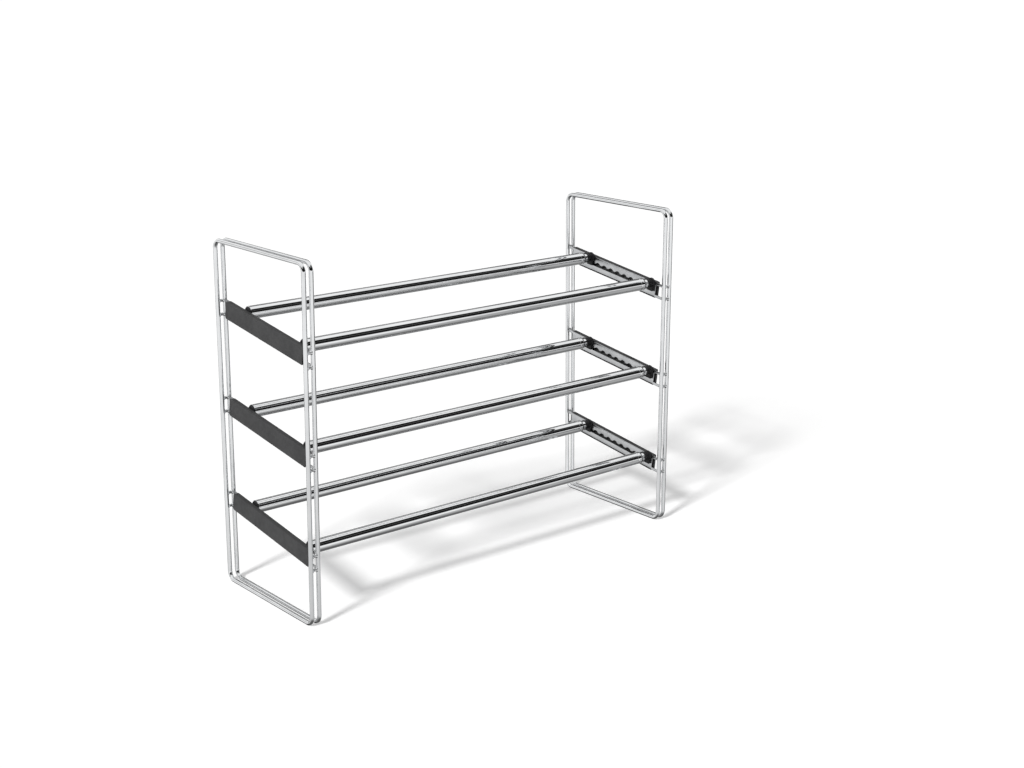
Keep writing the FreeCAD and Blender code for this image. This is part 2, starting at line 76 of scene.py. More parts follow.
def skin(rows, ends=True):
    """Closed skin over a grid of points, rows x around: quads join each row to the next, round
    the whole section. Each end row gets one face, or without ends the last row joins the first.
    The signed volume, a sixth of the sum of a.(b x c) over the faces cut in fans, comes out
    negative on a skin that is inside out, and such a skin is turned over."""
    count, around = rows.shape[:2]
    index = np.arange(count * around).reshape(count, around)
    ring = index if ends else np.vstack([index, index[:1]])
    near, far = ring[:-1], ring[1:]
    quads = np.stack([near, far, np.roll(far, -1, 1), np.roll(near, -1, 1)], -1).reshape(-1, 4)
    points = rows.reshape(-1, 3)
    a, b, c, d = (points[quads[:, i]] for i in range(4))
    volume = np.einsum("ij,ij->", a, np.cross(b, c) + np.cross(c, d))
    faces = quads.tolist()
    if ends:
        for row in (index[0], index[-1][::-1]):
            edge = points[row]
            volume += edge.mean(0) @ np.cross(edge, np.roll(edge, -1, 0)).sum(0)
            faces.append(row.tolist())
    if volume < 0:
        faces = [face[::-1] for face in faces]
    return points, faces


def make_piece(name, skins, finish, body, node):
    """One object from one or more closed skins, which stands for a node and rides on its body."""
    points, faces = [], []
    start = 0
    for skin_points, skin_faces in skins:
        points.append(skin_points)
        faces += [[start + corner for corner in face] for face in skin_faces]
        start += len(skin_points)
    mesh = bpy.data.meshes.new(name)
    mesh.from_pydata(np.concatenate(points).tolist(), [], faces)
    mesh.polygons.foreach_set("use_smooth", np.ones(len(faces), bool))
    mesh.set_sharp_from_angle(angle=math.radians(35))
    mesh.materials.append(finish)
    piece = bpy.data.objects.new(name, mesh)
    bpy.context.scene.collection.objects.link(piece)
    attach(piece, body)
    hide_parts(node)
    return piece


def start_material(name, colour, metallic, roughness):
    """A material with its shader, and the object's own coordinates for patterns in metres.
    Patterns on colour and roughness stay close to the plain values given here."""
    material = bpy.data.materials.new(name)
    material.use_nodes = True
    tree = material.node_tree
    shader = tree.nodes["Principled BSDF"]
    shader.inputs["Base Color"].default_value = (*colour, 1)
    shader.inputs["Metallic"].default_value = metallic
    shader.inputs["Roughness"].default_value = roughness
    where = tree.nodes.new("ShaderNodeTexCoord").outputs["Object"]
    return material, tree, shader, where


def cloud(tree, where, size, stretch=(1, 1, 1), detail=3.0):
    """Soft noise from 0 to 1 whose lumps are about `size` metres, longer where stretched."""
    mapping = tree.nodes.new("ShaderNodeMapping")
    mapping.inputs["Scale"].default_value = [1 / (size * s) for s in stretch]
    tree.links.new(where, mapping.inputs["Vector"])
    noise = tree.nodes.new("ShaderNodeTexNoise")
    noise.inputs["Scale"].default_value = 1.0
    noise.inputs["Detail"].default_value = detail
    tree.links.new(mapping.outputs["Vector"], noise.inputs["Vector"])
    return noise.outputs["Fac"]


def spread(tree, value, low, high, target):
    """Lead noise, which lies mostly between 0.3 and 0.7, to a socket as low to high."""
    ramp = tree.nodes.new("ShaderNodeMapRange")
    ramp.inputs["From Min"].default_value = 0.3
    ramp.inputs["From Max"].default_value = 0.7
    ramp.inputs["To Min"].default_value = low
    ramp.inputs["To Max"].default_value = high
    tree.links.new(value, ramp.inputs["Value"])
    tree.links.new(ramp.outputs["Result"], target)


def tint(tree, value, dark, light, target):
    """Lead noise to a colour socket as a blend of two colours."""
    ramp = tree.nodes.new("ShaderNodeValToRGB")
    ramp.color_ramp.elements[0].position = 0.3
    ramp.color_ramp.elements[0].color = (*dark, 1)
    ramp.color_ramp.elements[1].position = 0.7
    ramp.color_ramp.elements[1].color = (*light, 1)
    tree.links.new(value, ramp.inputs["Fac"])
    tree.links.new(ramp.outputs["Color"], target)


def relief(tree, value, depth, shader):
    """Bump of a real depth in metres on a shader."""
    bump = tree.nodes.new("ShaderNodeBump")
    bump.inputs["Strength"].default_value = 1.0
    bump.inputs["Distance"].default_value = depth
    tree.links.new(value, bump.inputs["Height"])
    tree.links.new(bump.outputs["Normal"], shader.inputs["Normal"])


def chrome(name, dull, light, stretch):
    """Bright chrome: faint cloudiness of the plate, and long shallow marks of the drawn steel."""
    material, tree, shader, where = start_material(name, light, 1.0, 0.045)
    tint(tree, cloud(tree, where, 0.03), dull, light, shader.inputs["Base Color"])
    spread(tree, cloud(tree, where, 0.010, stretch), 0.03, 0.06, shader.inputs["Roughness"])
    relief(tree, cloud(tree, where, 0.020, stretch, 1.0), 0.000004, shader)
    return material


chrome_wire = chrome("chrome_wire", (0.74, 0.75, 0.76), (0.84, 0.85, 0.86), (1, 1, 8))


def loop_rows(x, bend_steps=15, weld_steps=13, around_steps=24):
    """Wire of one loop. Its centre line turns through four arcs, centre + BEND (cos a, sin a),
    and runs straight between them, so that the wall is
    line + r (cos b (0, cos a, sin a) + sin b (1, 0, 0)). The butt weld, at s = 0 on the bottom
    bar, is ground down a little: r = WIRE (1 - WELD_SINK exp(-(s / WELD_SPREAD)^2))."""
    lean = math.atan(LEAN)
    low, high = LOOP_LOW + BEND, LOOP_HIGH - BEND
    centres = np.array([(HALF_LOW - BEND, low), (HALF_HIGH - BEND, high),
                        (BEND - HALF_HIGH, high), (BEND - HALF_LOW, low)])
    starts = np.array([-math.pi / 2, -lean, math.pi / 2, math.pi + lean])
    stops = np.array([-lean, math.pi / 2, math.pi + lean, 1.5 * math.pi])
    angle = starts[:, None] + (stops - starts)[:, None] * np.linspace(0, 1, bend_steps)
    facing = np.stack([np.cos(angle), np.sin(angle)], -1)
    line = (centres[:, None] + BEND * facing).reshape(-1, 2)
    s = np.linspace(-4 * WELD_SPREAD, 4 * WELD_SPREAD, weld_steps)
    line = np.vstack([line, np.stack([s, np.full(weld_steps, LOOP_LOW)], -1)])
    facing = np.vstack([facing.reshape(-1, 2), np.tile((0.0, -1.0), (weld_steps, 1))])
    thick = np.append(np.full(4 * bend_steps, WIRE),
                      WIRE * (1 - WELD_SINK * np.exp(-(s / WELD_SPREAD) ** 2)))
    around = np.linspace(0, 2 * math.pi, around_steps, endpoint=False)
    rows = np.empty((len(line), around_steps, 3))
    rows[..., 0] = x + thick[:, None] * np.sin(around)
    rows[..., 1:] = line[:, None] + (thick[:, None] * np.cos(around))[..., None] * facing[:, None]
    return rows


for side in SIDES:
    for which, x in (("outer", OUTER_PLANE), ("inner", OUTER_PLANE - LOOP_GAP)):
        make_piece(f"{side}_{which}_wire_loop", [skin(loop_rows(OUT[side] * x), ends=False)],
                   chrome_wire, f"{side}_frame", f"{side}_{which}_loop")

# ------------------------------------------------------------------ link wires
# Two short lengths of 4 mm wire at each end of each rail hold the two loops apart. They are
# resistance welded to the posts, where the metal has run out into a small fillet.
TIERS = ("bottom", "middle", "top")
TIER_LEVEL = {"bottom": 0.1018, "middle": 0.2358, "top": 0.3698}
TILT = math.radians(8.1)
LINK = 0.002
LINK_RISE = 0.0094
FILLET, FILLET_END, LINK_END = 0.0009, 1.1, 1.25


def post_at(z):
    """Half the distance between front and rear post at height z."""
    return HALF_LOW + LEAN * (z - LOOP_LOW - BEND)


def link_rows(side, y, z, steps=17, around_steps=20):
    """Surface of revolution about the line from loop to loop. With s from -1 to 1 between the
    posts' faces, and on to LINK_END inside the posts, the radius is
    LINK + FILLET min(|s|, FILLET_END)^3, which gives the weld's fillet."""
    s = np.linspace(-LINK_END, LINK_END, steps)
    radius = LINK + FILLET * np.minimum(np.abs(s), FILLET_END) ** 3
    around = np.linspace(0, 2 * math.pi, around_steps, endpoint=False)
    rows = np.empty((steps, around_steps, 3))
    middle = OUT[side] * (OUTER_PLANE - LOOP_GAP / 2)
    rows[..., 0] = (middle + s * (LOOP_GAP / 2 - WIRE))[:, None]
    rows[..., 1] = y + radius[:, None] * np.cos(around)
    rows[..., 2] = z + radius[:, None] * np.sin(around)
    return rows


for side in SIDES:
    links = []
    for tier in TIERS:
        for way in (-1, 1):
            for rise in (-LINK_RISE, LINK_RISE):
                level = TIER_LEVEL[tier]
                z = level + way * post_at(level) * math.tan(TILT) + rise
                links.append(skin(link_rows(side, way * post_at(z), z)))
    make_piece(f"{side}_welded_link_wires", links, chrome_wire, f"{side}_frame",
               f"{side}_link_wires")

# ------------------------------------------------------------------ slotted rails
# Each tier hangs between two rails, channels folded from 1.2 mm steel. A slot runs along the
# web, with ten round recesses in its upper edge that hold the rods. A finger at each corner is
# welded to the post of the inner loop.
WEB_PLANE = 0.3045
RAIL_FRONT, RAIL_REAR = -0.090, 0.095
RAIL_HALF, RAIL_FLANGE, SHEET = 0.0114, 0.005, 0.0012
SLOT_EDGE, OUTER_BEND, FLANGE_EDGE, INNER_BEND = 0.0002, 0.0018, 0.0003, 0.0007
FINGER, FINGER_SHORT = 0.004, 0.001
BEAD, BEAD_OUT, BEAD_SHARE = (0.0013, 0.0017, 0.0016), 0.0008, 0.985
SLOT_MID, SLOT_HALF = -0.0012, 0.002
FRONT_ROD, PITCH, STEPS = -0.082, 0.0149, 9
NECK_ROOM = 0.0033
RECESS, RECESS_RISE = 0.0066, 0.0026


def on_rail(side, tier, points):
    """Rail's own x (out of the rack from the web), y (along) and z (up the web) to the rack."""
    x, y, z = np.moveaxis(points, -1, 0)
    return np.stack([OUT[side] * (WEB_PLANE + x),
                     y * math.cos(TILT) - z * math.sin(TILT),
                     TIER_LEVEL[tier] + y * math.sin(TILT) + z * math.cos(TILT)], -1)


def round_off(corners, radii, steps=5):
    """Closed outlines with rounded corners. Each corner c gives way to the curve
    (1-t)^2 a + 2t(1-t) c + t^2 b, whose ends a and b lie one radius from c along its two sides.
    Any axes in front of the last two are kept, so one call does a whole stack of outlines."""
    before = np.roll(corners, 1, -2) - corners
    after = np.roll(corners, -1, -2) - corners
    radii = np.broadcast_to(radii, corners.shape[:-1])[..., None]
    a = corners + radii * before / np.linalg.norm(before, axis=-1, keepdims=True)
    b = corners + radii * after / np.linalg.norm(after, axis=-1, keepdims=True)
    t = np.linspace(0, 1, steps)[:, None]
    a, b, c = a[..., None, :], b[..., None, :], corners[..., None, :]
    curve = (1 - t) ** 2 * a + 2 * t * (1 - t) * c + t ** 2 * b
    return curve.reshape(*corners.shape[:-2], -1, 2)


def rail_half(way, slot_steps=181):
    """Upper (way 1) or lower (way -1) half of a rail, from the slot's edge over the bend to the
    flange. Along y the slot's edge lies at SLOT_MID + way sqrt(h^2 - (h - d)^2), with h half
    the slot's height and d, at most h, the distance to the slot's nearer end. The upper edge
    rises into the recesses: centre + sqrt(RECESS^2 - (y - recess)^2) where that is higher."""
    first = FRONT_ROD - NECK_ROOM
    last = FRONT_ROD + STEPS * PITCH + NECK_ROOM
    ease = SLOT_HALF * (1 - np.cos(np.linspace(0, math.pi / 2, 7)))
    y = np.concatenate([[RAIL_FRONT], first + ease, np.linspace(first, last, slot_steps)[4:-4],
                        (last - ease)[::-1], [RAIL_REAR]])
    y.sort()
    d = np.clip(np.minimum(y - first, last - y), 0, SLOT_HALF)
    edge = SLOT_MID + way * np.sqrt(SLOT_HALF ** 2 - (SLOT_HALF - d) ** 2)
    if way > 0:
        recess = FRONT_ROD + PITCH * np.clip(np.round((y - FRONT_ROD) / PITCH), 0, STEPS)
        high = SLOT_MID + SLOT_HALF + RECESS_RISE - RECESS
        arc = high + np.sqrt(np.maximum(RECESS ** 2 - (y - recess) ** 2, 0))
        edge = np.where(d > 0, np.maximum(edge, np.where(d >= SLOT_HALF / 2, arc, edge)), edge)
    top = way * RAIL_HALF
    under = top - way * SHEET
    corners = np.zeros((len(y), 6, 2))
    corners[:, :, 0] = (0, 0, RAIL_FLANGE, RAIL_FLANGE, SHEET, SHEET)
    corners[:, 1:5, 1] = (top, top, under, under)
    corners[:, 0, 1] = edge
    corners[:, 5, 1] = edge
    outline = round_off(corners, (SLOT_EDGE, OUTER_BEND, FLANGE_EDGE, FLANGE_EDGE,
                                  INNER_BEND, SLOT_EDGE), 4)
    rows = np.empty((*outline.shape[:2], 3))
    rows[..., 0] = outline[..., 0]
    rows[..., 1] = y[:, None]
    rows[..., 2] = outline[..., 1]
    return rows


def finger_rows(start, stop, way):
    """Flat bar with rounded edges: its section is carried along y from start to stop."""
    low, high = way * (RAIL_HALF - FINGER), way * RAIL_HALF
    corners = np.array([(0, low), (0, high), (SHEET, high), (SHEET, low)])
    outline = round_off(corners, FLANGE_EDGE, 4)
    y = np.linspace(start, stop, 3)
    rows = np.empty((len(y), len(outline), 3))
    rows[..., 0] = outline[:, 0]
    rows[..., 1] = y[:, None]
    rows[..., 2] = outline[:, 1]
    return rows


def bead_rows(centre, radii, steps=11, around_steps=14):
    """Weld bead: the ellipsoid centre + radii (cos u cos v, cos u sin v, sin u), cut flat
    close to both ends of u, at 84 degrees."""
    u = np.radians(np.linspace(-84, 84, steps))[:, None]
    v = np.linspace(0, 2 * math.pi, around_steps, endpoint=False)
    ball = np.stack([np.cos(u) * np.cos(v), np.cos(u) * np.sin(v),
                     np.sin(u) * np.ones(around_steps)], -1)
    return np.asarray(centre) + np.asarray(radii) * ball


def rail_metal():
    """Chromed sheet, a little duller than the wire, with the rolling marks along the rail."""
    material, tree, shader, where = start_material("rail_steel", (0.56, 0.57, 0.58), 1.0, 0.32)
    tint(tree, cloud(tree, where, 0.02), (0.50, 0.51, 0.52), (0.62, 0.63, 0.64),
         shader.inputs["Base Color"])
    spread(tree, cloud(tree, where, 0.0012, (1, 30, 1)), 0.24, 0.40, shader.inputs["Roughness"])
    relief(tree, cloud(tree, where, 0.0008, (1, 30, 1)), 0.000012, shader)
    return material


rail_steel = rail_metal()
rail_halves = [rail_half(1), rail_half(-1)]
for side in SIDES:
    for tier in TIERS:
        reach = (post_at(TIER_LEVEL[tier]) - FINGER_SHORT) / math.cos(TILT)
        parts = list(rail_halves)
        for way in (1, -1):
            for start, stop in ((RAIL_FRONT, -reach), (RAIL_REAR, reach)):
                parts.append(finger_rows(start, stop, way))
                middle = way * (RAIL_HALF - FINGER / 2)
                parts.append(bead_rows((BEAD_OUT, stop * BEAD_SHARE, middle), BEAD))
        make_piece(f"{side}_{tier}_slotted_rail",
                   [skin(on_rail(side, tier, rows)) for rows in parts],
                   rail_steel, f"{side}_frame", f"{side}_{tier}_rail")

# ------------------------------------------------------------------ rail covers
# A cover of dark grey plastic slides over each rail's flanges from outside and hides the slot.
# It is injection moulded: a long tray, open at the front and closed at the rear, with rounded
# corners at the rear and a fine spark-eroded grain on the outside.
COVER_DEPTH, COVER_WALL, COVER_END = 0.0065, 0.0009, 0.003
COVER_HALF = RAIL_HALF + COVER_WALL
COVER_FRONT, COVER_REAR = -0.092, RAIL_REAR + COVER_END
CORNER_REAR, CORNER_FRONT, RIM = 0.0045, 0.0015, 0.001
INNER_RIM, COVER_EDGE = 0.0004, 0.0001
LEAST_WALL, END_PLAY = 0.0003, 0.0003
PLAIN_HALF, STEP_LENGTH = 0.08, 1e-6


def cover_rows():
    """Tray section carried along y. Near an end, at distance d inside it, a rounding of radius
    r takes r - sqrt(r^2 - (r - d)^2) off: the corners' r off the height, and the rim's r off
    the depth. Past the inner face of the rear wall the tray's floor moves out to the web."""
    ease = 1 - np.cos(np.linspace(0, math.pi / 2, 9))
    inner_end = COVER_REAR - COVER_END
    y = np.concatenate([COVER_FRONT + CORNER_FRONT * ease,
                        np.linspace(-PLAIN_HALF, PLAIN_HALF, 9),
                        [inner_end, inner_end + STEP_LENGTH],
                        (COVER_REAR - CORNER_REAR * ease)[:0:-1], COVER_REAR - RIM * ease[::-1]])
    y = np.unique(np.round(y, 7))

    def taken(distance, radius):
        left = np.clip(radius - distance, 0, radius)
        return radius - np.sqrt(radius ** 2 - left ** 2)

    front, rear = y - COVER_FRONT, COVER_REAR - y
    half = COVER_HALF - taken(rear, CORNER_REAR) - taken(front, CORNER_FRONT)
    deep = COVER_DEPTH - taken(rear, RIM) - 0.5 * taken(front, RIM)
    inner = np.minimum(RAIL_HALF, half - LEAST_WALL)
    floor = np.where(y > inner_end, SHEET + END_PLAY, COVER_DEPTH - COVER_WALL)
    corners = np.zeros((len(y), 8, 2))
    for place, (x, z) in enumerate([(0 * y, half), (deep, half), (deep, -half), (0 * y, -half),
                                    (0 * y, -inner), (floor, -inner), (floor, inner),
                                    (0 * y, inner)]):
        corners[:, place, 0] = x
        corners[:, place, 1] = z
    outline = round_off(corners, (COVER_EDGE, RIM, RIM, COVER_EDGE,
                                  COVER_EDGE, INNER_RIM, INNER_RIM, COVER_EDGE), 6)
    rows = np.empty((*outline.shape[:2], 3))
    rows[..., 0] = outline[..., 0]
    rows[..., 1] = y[:, None]
    rows[..., 2] = outline[..., 1]
    return rows


def grained_plastic():
    """Dark grey moulded plastic: fine grain, a little unevenness of sheen, and faint dust."""
    material, tree, shader, where = start_material("cover_plastic", (0.043, 0.043, 0.044), 0, 0.53)
    tint(tree, cloud(tree, where, 0.025), (0.036, 0.036, 0.037), (0.050, 0.050, 0.051),
         shader.inputs["Base Color"])
    spread(tree, cloud(tree, where, 0.006), 0.46, 0.60, shader.inputs["Roughness"])
    relief(tree, cloud(tree, where, 0.0006), 0.00003, shader)
    shader.inputs["Specular IOR Level"].default_value = 0.3
    return material


cover_plastic = grained_plastic()
for side in SIDES:
    for tier in TIERS:
        make_piece(f"{side}_{tier}_plastic_cover", [skin(on_rail(side, tier, cover_rows()))],
                   cover_plastic, f"{side}_frame",
                   f"{side}_{tier}_rail_cover")

# ------------------------------------------------------------------ outer tubes
# The six thick tubes belong to the left frame: welded steel tube of 18 mm with a 0.8 mm wall,
# chrome plated, its mouth turned in a little, and a groove rolled round it 6 mm from the mouth.
STATIONS = {"front": FRONT_ROD, "rear": FRONT_ROD + STEPS * PITCH}
ROD_RISE = 0.0093
TUBE_WALL = 0.0008
OUTER_TUBE = 0.009
OUTER_START, OUTER_LENGTH = 0.0015, 0.5853
MOUTH = OUTER_START + OUTER_LENGTH
GROOVE, GROOVE_HALF, GROOVE_DEPTH = MOUTH - 0.006, 0.0011, 0.0005
LIP_LENGTH, LIP_DEPTH = 0.0012, 0.0005
TUBE_EDGE = 0.0002


def turned(profile, around=56):
    """Surface of revolution: each profile point (x, r) becomes (x, r cos b, r sin b)."""
    b = np.linspace(0, 2 * math.pi, around, endpoint=False)
    x, r = profile[:, :1], profile[:, 1:]
    return np.stack([x + 0 * b, r * np.cos(b), r * np.sin(b)], -1)


def on_rod(side, tier, station, points):
    """Rod's own x (into the rack from the web), y and z (tilted as the rail is) to the rack."""
    x, y, z = np.moveaxis(points, -1, 0)
    return on_rail(side, tier, np.stack([-x, y + STATIONS[station], z + ROD_RISE], -1))


def outer_tube_profile():
    """Wall of the tube, once out along the outside and back along the inside. The groove takes
    GROOVE_DEPTH cos^2 off both. Over the last LIP_LENGTH, where t goes from 0 to 1, the
    outside turns in by LIP_DEPTH (1 - sqrt(1 - t^2))."""
    x = np.concatenate([[OUTER_START, OUTER_START + TUBE_EDGE], np.linspace(0.02, 0.56, 19),
                        np.linspace(GROOVE - 2 * GROOVE_HALF, GROOVE + 2 * GROOVE_HALF, 17),
                        MOUTH - LIP_LENGTH * np.cos(np.linspace(0, math.pi / 2, 7))])
    across = np.clip((x - GROOVE) / GROOVE_HALF, -1, 1)
    groove = GROOVE_DEPTH * np.cos(across * math.pi / 2) ** 2
    t = np.clip((x - MOUTH) / LIP_LENGTH + 1, 0, 1)
    lip = LIP_DEPTH * (1 - np.sqrt(1 - t ** 2))
    outside = np.stack([x, OUTER_TUBE - groove - lip], -1)
    outside[0, 1] -= TUBE_EDGE
    inside = np.stack([x, OUTER_TUBE - TUBE_WALL - groove], -1)
    return np.vstack([outside, inside[::-1]])


chrome_tube = chrome("chrome_tube", (0.78, 0.79, 0.80), (0.86, 0.87, 0.88), (10, 1, 1))
outer_tube = turned(outer_tube_profile())
for tier in TIERS:
    for station in STATIONS:
        make_piece(f"{tier}_{station}_thick_tube",
                   [skin(on_rod("left", tier, station, outer_tube), ends=False)],
                   chrome_tube, f"{tier}_{station}_outer_rod",
                   f"{tier}_{station}_outer_tube")

# ------------------------------------------------------------------ slide bushes
# A black plastic bush sits in each thick tube's mouth and guides the thin tube. The rolled
# groove holds it, and its rim covers the tube's cut end.
BUSH_LENGTH, BUSH_RIM = 0.024, 0.0015
INNER_TUBE = 0.007
PLAY = 0.00005
RIM_INSET = 0.0002


def black_plastic():
    """Black moulded plastic with a satin skin and shallow flow marks."""
    material, tree, shader, where = start_material("plug_plastic", (0.012, 0.012, 0.013), 0, 0.38)
    tint(tree, cloud(tree, where, 0.008), (0.009, 0.009, 0.010), (0.016, 0.016, 0.017),
         shader.inputs["Base Color"])
    spread(tree, cloud(tree, where, 0.004), 0.30, 0.45, shader.inputs["Roughness"])
    relief(tree, cloud(tree, where, 0.0012), 0.00002, shader)
    shader.inputs["Specular IOR Level"].default_value = 0.25
    return material


plug_plastic = black_plastic()
bore, seat, rim = INNER_TUBE + PLAY, OUTER_TUBE - TUBE_WALL, OUTER_TUBE - RIM_INSET
bush = round_off(np.array([(MOUTH - BUSH_LENGTH, bore), (MOUTH + BUSH_RIM, bore),
                           (MOUTH + BUSH_RIM, rim), (MOUTH, rim),
                           (MOUTH, seat - GROOVE_DEPTH),
                           (MOUTH - BUSH_LENGTH, seat - GROOVE_DEPTH)]),
                 (0.0003, 0.0004, 0.0006, 0.0002, 0.0002, 0.0003))
for tier in TIERS:
    for station in STATIONS:
        make_piece(f"{tier}_{station}_mouth_bush",
                   [skin(on_rod("left", tier, station, turned(bush)), ends=False)],
                   plug_plastic, f"{tier}_{station}_outer_rod",
                   f"{tier}_{station}_slide_bush")

# ------------------------------------------------------------------ inner tubes
# The six thin tubes belong to the right frame: 14 mm chromed tube that slides in the bushes.
# Only their last few millimetres show while the rack is pushed in.
INNER_START, INNER_LENGTH = 0.0143, 0.5762
inner = round_off(np.array([(INNER_START, INNER_TUBE),
                            (INNER_START + INNER_LENGTH, INNER_TUBE),
                            (INNER_START + INNER_LENGTH, INNER_TUBE - TUBE_WALL),
                            (INNER_START, INNER_TUBE - TUBE_WALL)]), TUBE_EDGE)
for tier in TIERS:
    for station in STATIONS:
        make_piece(f"{tier}_{station}_thin_tube",
                   [skin(on_rod("right", tier, station, turned(inner, 48)), ends=False)],
                   chrome_tube, f"{tier}_{station}_inner_rod",
                   f"{tier}_{station}_inner_tube")

# ------------------------------------------------------------------ tube guides
# A plastic cup closes the hidden end of each thin tube and keeps it central in the thick one.
# It never shows, so it keeps its plain shape and gets the plugs' black plastic.
for tier in TIERS:
    for station in STATIONS:
        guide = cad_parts[f"{tier}_{station}_tube_guide"]
        guide.data.materials.clear()
        guide.data.materials.append(plug_plastic)

# ------------------------------------------------------------------ rod plugs
# Every tube ends in a black moulded plug pressed into it. Its keel carries a neck that passes
# the rail's slot and a head behind the web. The right plugs show: a flange at the rail, a
# waist and a collar at the thin tube; of the left plugs only a thin flange shows.
WEB_PLAY = 0.0003
NECK_LEVEL = SLOT_MID - ROD_RISE
SPIGOT = 0.012
KEEL_HALF, NECK_HALF, HEAD_HALF = 0.0055, 0.003, 0.0045
NECK_HIGH, HEAD_HIGH, HEAD_THICK = 0.0017, 0.007, 0.003
LEFT_KEEL, RIGHT_KEEL = 0.0012, 0.0035
CORE = 0.0005
LEFT_FLANGE, LEFT_FLANGE_EDGE = 0.0080, 0.0079
FLANGE, WAIST, RING, COLLAR, TUBE_FIT = 0.0073, 0.0057, 0.0067, 0.0076, 0.0061
FLANGE_END, RING_START, RING_END, COLLAR_START = 0.0038, 0.0064, 0.0078, 0.0113


def block_rows(x, y, z, edge=0.0004):
    """Block between two values of x, y and z: a rounded outline carried along x, drawn in by
    the same rounding over the first and the last row."""
    inset = np.array([edge, 0.3 * edge, 0, 0, 0.3 * edge, edge])
    along = np.array([x[0], x[0] + 0.3 * edge, x[0] + edge, x[1] - edge, x[1] - 0.3 * edge, x[1]])
    corners = np.empty((6, 4, 2))
    corners[:, (0, 3), 0] = y[0] + inset[:, None]
    corners[:, (1, 2), 0] = y[1] - inset[:, None]
    corners[:, (0, 1), 1] = z[0] + inset[:, None]
    corners[:, (2, 3), 1] = z[1] - inset[:, None]
    outline = round_off(corners, 0.0006, 4)
    rows = np.empty((*outline.shape[:2], 3))
    rows[..., 0] = along[:, None]
    rows[..., 1:] = outline
    return rows


def hook(keel_thick):
    """Keel, neck and head of a plug, in the rod's own place. The neck reaches a little way into
    the head and into the keel."""
    low, behind_web = NECK_LEVEL - NECK_HIGH, -SHEET - WEB_PLAY
    return [block_rows((WEB_PLAY, WEB_PLAY + keel_thick), (-KEEL_HALF, KEEL_HALF), (low, 0)),
            block_rows((behind_web - 0.001, WEB_PLAY + 0.0006), (-NECK_HALF, NECK_HALF),
                       (low, NECK_LEVEL + NECK_HIGH)),
            block_rows((behind_web - HEAD_THICK, behind_web), (-HEAD_HALF, HEAD_HALF),
                       (NECK_LEVEL - HEAD_HIGH, NECK_LEVEL + HEAD_HIGH), 0.0006)]


# Both profiles run from the core at the rail over the outside to the core at the spigot's end.
left_plug = round_off(np.array([(WEB_PLAY, CORE), (WEB_PLAY, LEFT_FLANGE_EDGE),
                                (OUTER_START, LEFT_FLANGE), (OUTER_START + TUBE_EDGE, seat),
                                (OUTER_START + SPIGOT, seat - 0.0001),
                                (OUTER_START + SPIGOT, CORE)]),
                      (0.0001, 0.0005, 0.0001, 0.0001, 0.0008, 0.0001))[3:-2]
right_plug = round_off(np.array([(WEB_PLAY, CORE), (WEB_PLAY, FLANGE), (FLANGE_END, FLANGE),
                                 (FLANGE_END, WAIST), (RING_START, WAIST),
                                 (RING_START, RING), (RING_END, RING), (RING_END, WAIST),
                                 (COLLAR_START, WAIST), (COLLAR_START, COLLAR),
                                 (INNER_START, COLLAR), (INNER_START, TUBE_FIT),
                                 (INNER_START + SPIGOT, TUBE_FIT - 0.0001),
                                 (INNER_START + SPIGOT, CORE)]),
                       (0.0001, 0.0007, 0.0007, 0.0006, 0.0005, 0.0004, 0.0004,
                        0.0005, 0.0006, 0.0006, 0.0004, 0.0001, 0.0008, 0.0001))[3:-2]
for tier in TIERS:
    for station in STATIONS:
        for side, profile, keel, rod in (("left", left_plug, LEFT_KEEL, "outer"),
                                         ("right", right_plug, RIGHT_KEEL, "inner")):
            skins = [skin(on_rod(side, tier, station, rows))
                     for rows in [turned(profile, 48)] + hook(keel)]
            make_piece(f"{tier}_{station}_{side}_plug", skins, plug_plastic,
                       f"{tier}_{station}_{rod}_rod",
                       f"{tier}_{station}_{rod}_plug")

# ------------------------------------------------------------------ floor
# A wide plain floor, which is white but for the rack's shadow. Chrome doesn't show it: what
# chrome shows below the horizon is the lower half of the room.
FLOOR_HALF = 40
corners = [(-FLOOR_HALF, -FLOOR_HALF, 0), (FLOOR_HALF, -FLOOR_HALF, 0),
           (FLOOR_HALF, FLOOR_HALF, 0), (-FLOOR_HALF, FLOOR_HALF, 0)]
floor_mesh = bpy.data.meshes.new("floor")
floor_mesh.from_pydata(corners, [], [(0, 1, 2, 3)])
floor = bpy.data.objects.new("floor", floor_mesh)
bpy.context.scene.collection.objects.link(floor)
paint, tree, shader, _ = start_material("floor_paint", (0.8, 0.8, 0.8), 0, 0.9)
floor_mesh.materials.append(paint)
shader.inputs["Specular IOR Level"].default_value = 0
shader.inputs["Emission Color"].default_value = (1, 1, 1, 1)
ray = tree.nodes.new("ShaderNodeLightPath")
glow = tree.nodes.new("ShaderNodeMath")
glow.operation = "MULTIPLY"
glow.inputs[1].default_value = 0.35
tree.links.new(ray.outputs["Is Camera Ray"], glow.inputs[0])
tree.links.new(glow.outputs["Value"], shader.inputs["Emission Strength"])
through = tree.nodes.new("ShaderNodeBsdfTransparent")
either = tree.nodes.new("ShaderNodeMixShader")
tree.links.new(ray.outputs["Is Glossy Ray"], either.inputs[0])
tree.links.new(shader.outputs["BSDF"], either.inputs[1])
tree.links.new(through.outputs["BSDF"], either.inputs[2])
tree.links.new(either.outputs["Shader"], tree.nodes["Material Output"].inputs["Surface"])

# ------------------------------------------------------------------ light
# A lamp to the left and a little in front, and an even white room. Chrome doesn't mirror the
# lamp: it shows the room, white above and grey below the horizon, with black and grey boards.
lamp = bpy.data.lights.new("key", "SUN")
lamp.energy = 2.9
lamp.angle = math.radians(9)
key = bpy.data.objects.new("key", lamp)
key.rotation_euler = Vector((0.75, 0.24, -0.61)).to_track_quat("-Z", "Y").to_euler()
bpy.context.scene.collection.objects.link(key)
key.visible_glossy = False

